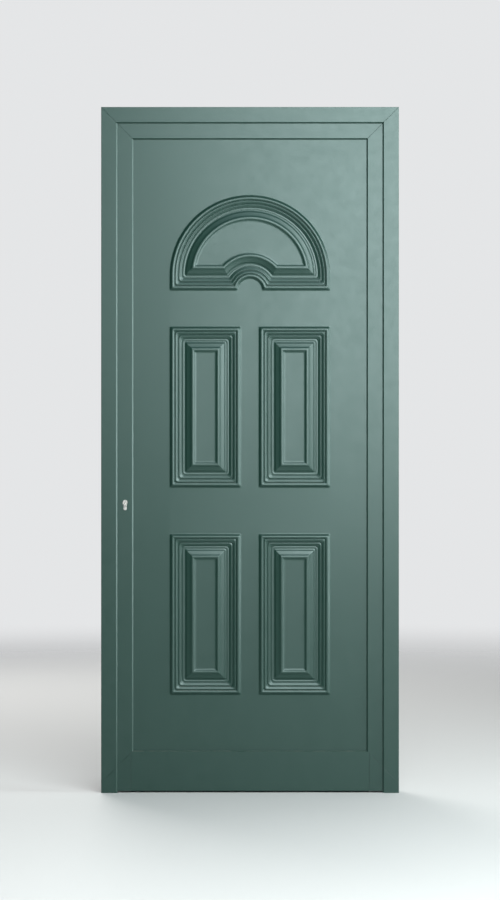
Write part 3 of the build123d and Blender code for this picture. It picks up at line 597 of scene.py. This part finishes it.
def pressMoulding(draw, left, foot, values):
    mesh = bmesh.new()
    rings, known = [], set()
    for inset, height, radius in smoothSection(values["section"], values["rings"]):
        draw(mesh, left, foot, values, inset, panelFace - height, radius)
        ring = [edge for edge in mesh.edges if edge not in known]
        known.update(ring)
        rings.append(ring)
    for outer, inner in zip(rings, rings[1:]):
        bmesh.ops.bridge_loops(mesh, edges=outer + inner)
    bmesh.ops.contextual_create(mesh, geom=rings[-1])
    bmesh.ops.remove_doubles(mesh, verts=mesh.verts, dist=values["weld"])
    pressed = bpy.data.meshes.new("moulding")
    mesh.to_mesh(pressed)
    mesh.free()
    return pressed


def buildPanelSkin(values):
    mesh = bmesh.new()
    left, right = -values["gap"] / 2 - values["width"], values["gap"] / 2
    places = [(drawRectangle, side, foot) for foot in values["feet"] for side in (left, right)]
    places.append((drawArch, left, values["archFoot"]))
    for draw, side, foot in places:
        pressed = pressMoulding(draw, side, foot, values)
        mesh.from_mesh(pressed)
        bpy.data.meshes.remove(pressed)
    wide, tall = (panelHigh.x - panelLow.x) / 2 / mm, (panelHigh.z - panelLow.z) / 2 / mm
    corners = squareGrid(mesh, (0, panelFace, panelLow.z / mm + tall), wide, tall)
    sheet = corners[0].link_faces[0]
    sheetEdges = list(sheet.edges)
    bmesh.ops.delete(mesh, geom=[sheet], context="FACES_ONLY")
    for edge in sheetEdges:
        edge.smooth = False
    openEdges = [edge for edge in mesh.edges if len(edge.link_faces) < 2]
    bmesh.ops.triangle_fill(mesh, use_beauty=True, use_dissolve=False, edges=openEdges,
                            normal=(0, -1, 0))
    bmesh.ops.recalc_face_normals(mesh, faces=mesh.faces)
    if sum(face.normal.y * face.calc_area() for face in mesh.faces) > 0:
        bmesh.ops.reverse_faces(mesh, faces=mesh.faces)
    for face in mesh.faces:
        face.smooth = True
    bmesh.ops.scale(mesh, vec=(mm, mm, mm), verts=mesh.verts)
    data = bpy.data.meshes.new("panelSkin")
    mesh.to_mesh(data)
    mesh.free()
    piece = bpy.data.objects.new("panelSkin", data)
    bpy.context.scene.collection.objects.link(piece)
    solid = piece.modifiers.new("sheet", "SOLIDIFY")
    solid.thickness = values["sheet"] * mm
    solid.offset = -1
    data.materials.append(panelPaint)
    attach(piece, "leaf")
    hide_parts("panel_outer_skin")


buildPanelSkin(panelSkin)
print("panel skin pressed")


# Spring behind the latch, copied into a piece of its own that rides with the leaf


def buildLatchSpring():
    coil = nodes["latch_spring"]
    data = coil.data.copy()
    data.transform(coil.matrix_world)
    piece = bpy.data.objects.new("latchSpring", data)
    bpy.context.scene.collection.objects.link(piece)
    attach(piece, "leaf")
    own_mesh(piece)
    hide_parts("latch_spring")


buildLatchSpring()
print("latch spring coiled")


# Studio

scene = bpy.context.scene
scene.view_settings.view_transform = "Standard"

floorValues = {
    "radius": 9.0,
    "steps": 96,
    "fade": (2.6, 8.0),  # distance from the middle where the floor begins to fade, and is gone
    "colour": (0.45, 0.45, 0.445, 1),
    "roughness": 0.7,
    "specular": 0.2,
}


def layFloor(values):
    mesh = bmesh.new()
    bmesh.ops.create_circle(mesh, cap_ends=True, segments=values["steps"], radius=values["radius"])
    data = bpy.data.meshes.new("floor")
    mesh.to_mesh(data)
    mesh.free()
    floor = bpy.data.objects.new("floor", data)
    scene.collection.objects.link(floor)
    material, tree, shader = newFinish("floorFinish", specular=values["specular"])
    shader.inputs["Base Color"].default_value = values["colour"]
    shader.inputs["Roughness"].default_value = values["roughness"]
    coords, _ = axesOf(tree)
    away = addNode(tree, "ShaderNodeVectorMath", operation="LENGTH")
    feed(tree, away.inputs[0], coords)
    clear = addNode(tree, "ShaderNodeBsdfTransparent")
    blend = addNode(tree, "ShaderNodeMixShader")
    feed(tree, blend.inputs[0], remap(tree, away.outputs["Value"], *values["fade"], smooth=True))
    feed(tree, blend.inputs[1], shader.outputs[0])
    feed(tree, blend.inputs[2], clear.outputs[0])
    feed(tree, tree.nodes["Material Output"].inputs["Surface"], blend.outputs[0])
    data.materials.append(material)


worldValues = {
    "before": (0.1, 0.105, 0.11, 1),  # on the outside of the door, which its paint reflects
    "behind": (0.78, 0.79, 0.8, 1),
    "turn": (0.0, 0.7),  # part of the direction along Y where before ends and behind begins
}


def paintWorld(values):
    world = bpy.data.worlds.new("studioWorld")
    world.use_nodes = True
    scene.world = world
    tree = world.node_tree
    axes = addNode(tree, "ShaderNodeSeparateXYZ")
    feed(tree, axes.inputs[0], addNode(tree, "ShaderNodeTexCoord").outputs["Generated"])
    side = remap(tree, axes.outputs["Y"], *values["turn"], smooth=True)
    feed(tree, tree.nodes["Background"].inputs["Color"],
         mixColour(tree, side, values["before"], values["behind"]))


lampValues = {
    "key": {
        "place": (1.3, -3.4, 2.3),
        "aim": (0.3, 0, 1.3),
        "size": (3.0, 2.8),
        "power": 275,
        "colour": (0.93, 1, 1),
    },
    "side": {
        "place": (3.4, -0.5, 1.5),
        "aim": (0, -0.05, 1.4),
        "size": (1.0, 2.6),
        "power": 120,
        "colour": (0.9, 1, 1),
    },
    "sky": {
        "place": (0.2, -2.4, 4.4),
        "aim": (0, 0, 1.2),
        "size": (3.2, 2.0),
        "power": 22,
        "colour": (0.72, 0.87, 1),
    },
    "room": {
        "place": (-1.6, 4.2, 3.2),
        "aim": (0, 0, 1.0),
        "size": (2.4, 2.4),
        "power": 190,
        "colour": (1, 0.99, 0.97),
    },
}


def hangLamp(name, values):
    lamp = bpy.data.lights.new(name, "AREA")
    lamp.shape = "RECTANGLE"
    lamp.size, lamp.size_y = values["size"]
    lamp.energy = values["power"]
    lamp.color = values["colour"]
    holder = bpy.data.objects.new(name, lamp)
    holder.location = values["place"]
    aim = Vector(values["aim"]) - Vector(values["place"])
    holder.rotation_euler = aim.to_track_quat("-Z", "Y").to_euler()
    scene.collection.objects.link(holder)


cameraValues = {
    "back": 8.0,
    "height": 1.1,
    "pictureHeight": 2.886,  # metres of door plane from the picture's foot to its top
    "sensor": 36.0,
}


def placeCamera(values):
    lens = bpy.data.cameras.new("camera")
    lens.sensor_width = values["sensor"]
    lens.lens = values["sensor"] * values["back"] / values["pictureHeight"]
    camera = bpy.data.objects.new("camera", lens)
    camera.location = (0, cadLow.y - values["back"], values["height"])
    camera.rotation_euler = (math.pi / 2, 0, 0)
    scene.collection.objects.link(camera)
    scene.camera = camera


layFloor(floorValues)
paintWorld(worldValues)
for name, values in lampValues.items():
    hangLamp(name, values)
placeCamera(cameraValues)
print("studio ready")
